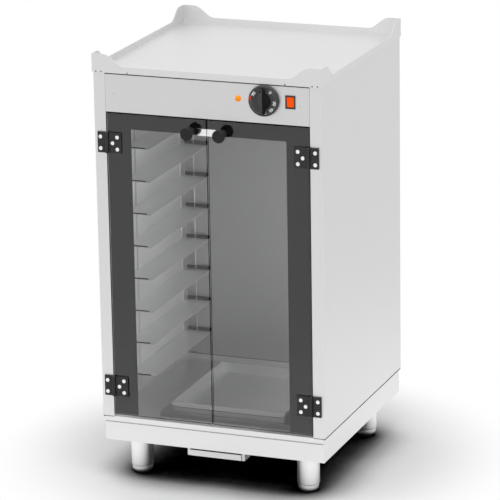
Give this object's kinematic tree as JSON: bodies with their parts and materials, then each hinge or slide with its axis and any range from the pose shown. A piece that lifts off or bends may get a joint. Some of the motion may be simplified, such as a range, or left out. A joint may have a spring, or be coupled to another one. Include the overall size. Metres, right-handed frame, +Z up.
{
  "type": "proofing cabinet",
  "caption": "Free-standing steel proofing cabinet with smoked glass double doors, tray ledges, a heated water pan, a control panel and a raised crown tray on top.",
  "frame": {"origin": "on the floor under the middle of the cabinet's body", "axes": "+Z up, the doors and controls face -Y, +X to the right of someone who faces the doors"},
  "size_m": [0.524, 0.567, 0.9661],
  "materials": {
    "steel_skin": "satin, finely brushed along the sheet",
    "steel_liner": "plain mill finish",
    "polished_steel": "polished",
    "bright_tube": "drawn tube",
    "smoked_glass": "smoked toughened glass with arrised edges",
    "black_enamel": "gloss black",
    "hinge_black": "satin black",
    "black_plastic": "fine matt moulding",
    "gloss_black": "polished phenolic",
    "grey_plastic": "plain moulding",
    "amber_lens": "clear lens",
    "red_lens": "clear lens"
  },
  "bodies": {
    "cabinet": {"base_tray": "steel_skin", "leg_front_left": "steel_skin", "leg_front_right": "steel_skin", "leg_rear_left": "steel_skin", "leg_rear_right": "steel_skin", "floor_pan": "steel_skin", "left_side_panel": "steel_skin", "right_side_panel": "steel_skin", "back_panel": "steel_skin", "crown_tray": "steel_skin", "left_liner": "steel_liner", "right_liner": "steel_liner", "back_liner": "steel_liner", "ceiling_liner": "steel_liner", "control_panel": "steel_skin", "thermostat_body": "grey_plastic", "capillary_tube": "bright_tube", "sensor_bulb": "bright_tube", "switch_housing": "black_plastic", "pilot_lamp": "amber_lens", "terminal_block": "grey_plastic", "cable_gland": "black_plastic", "heater_cover": "steel_liner", "heating_element": "bright_tube", "drip_tray_runner": "steel_skin", "drain_spout": "bright_tube", "magnetic_catch": "grey_plastic", "left_top_frame_leaf": "hinge_black", "left_top_hinge_pin": "polished_steel", "left_bottom_frame_leaf": "hinge_black", "left_bottom_hinge_pin": "polished_steel", "right_top_frame_leaf": "hinge_black", "right_top_hinge_pin": "polished_steel", "right_bottom_frame_leaf": "hinge_black", "right_bottom_hinge_pin": "polished_steel", "left_tray_rack": "steel_liner", "right_tray_rack": "steel_liner"},
    "left_door": {"left_door_glass": "smoked_glass", "left_door_border": "black_enamel", "left_door_knob": "gloss_black", "left_strike_clip": "polished_steel", "left_top_door_leaf": "hinge_black", "left_bottom_door_leaf": "hinge_black"},
    "right_door": {"right_door_glass": "smoked_glass", "right_door_border": "black_enamel", "right_door_knob": "gloss_black", "right_strike_clip": "polished_steel", "right_top_door_leaf": "hinge_black", "right_bottom_door_leaf": "hinge_black"},
    "thermostat_knob": {"thermostat_dial": "black_plastic"},
    "rocker": {"switch_rocker": "red_lens"},
    "drip_tray": {"drip_tray": "steel_skin"},
    "water_pan": {"water_pan": "steel_skin"},
    "front_left_foot": {"glide_front_left": "steel_skin"},
    "front_right_foot": {"glide_front_right": "steel_skin"},
    "rear_left_foot": {"glide_rear_left": "steel_skin"},
    "rear_right_foot": {"glide_rear_right": "steel_skin"}
  },
  "joints": [
    {"name": "left_door_hinge", "type": "hinge", "parent": "cabinet", "child": "left_door", "pos_m": [-0.2305, -0.2643, 0.495], "axis": [0, 0, -1], "range_deg": [0, 170]},
    {"name": "right_door_hinge", "type": "hinge", "parent": "cabinet", "child": "right_door", "pos_m": [0.2305, -0.2643, 0.495], "axis": [0, 0, 1], "range_deg": [0, 170]},
    {"name": "thermostat_turn", "type": "hinge", "parent": "cabinet", "child": "thermostat_knob", "pos_m": [0.132, -0.263, 0.8895], "axis": [0, 1, 0], "range_deg": [0, 270]},
    {"name": "rocker_tilt", "type": "hinge", "parent": "cabinet", "child": "rocker", "pos_m": [0.1905, -0.2585, 0.8895], "axis": [-1, 0, 0], "range_deg": [0, 12]},
    {"name": "drip_tray_slide", "type": "slide", "parent": "cabinet", "child": "drip_tray", "axis": [0, -1, 0], "range_m": [0, 0.17]},
    {"name": "water_pan_lift", "type": "slide", "parent": "cabinet", "child": "water_pan", "axis": [0, 0, 1], "range_m": [0, 0.1]},
    {"name": "front_left_foot_turn", "type": "hinge", "parent": "cabinet", "child": "front_left_foot", "pos_m": [-0.197, -0.193, 0.005], "axis": [0, 0, 1], "continuous": true},
    {"name": "front_right_foot_turn", "type": "hinge", "parent": "cabinet", "child": "front_right_foot", "pos_m": [0.197, -0.193, 0.005], "axis": [0, 0, 1], "continuous": true},
    {"name": "rear_left_foot_turn", "type": "hinge", "parent": "cabinet", "child": "rear_left_foot", "pos_m": [-0.197, 0.193, 0.005], "axis": [0, 0, 1], "continuous": true},
    {"name": "rear_right_foot_turn", "type": "hinge", "parent": "cabinet", "child": "rear_right_foot", "pos_m": [0.197, 0.193, 0.005], "axis": [0, 0, 1], "continuous": true}
  ]
}
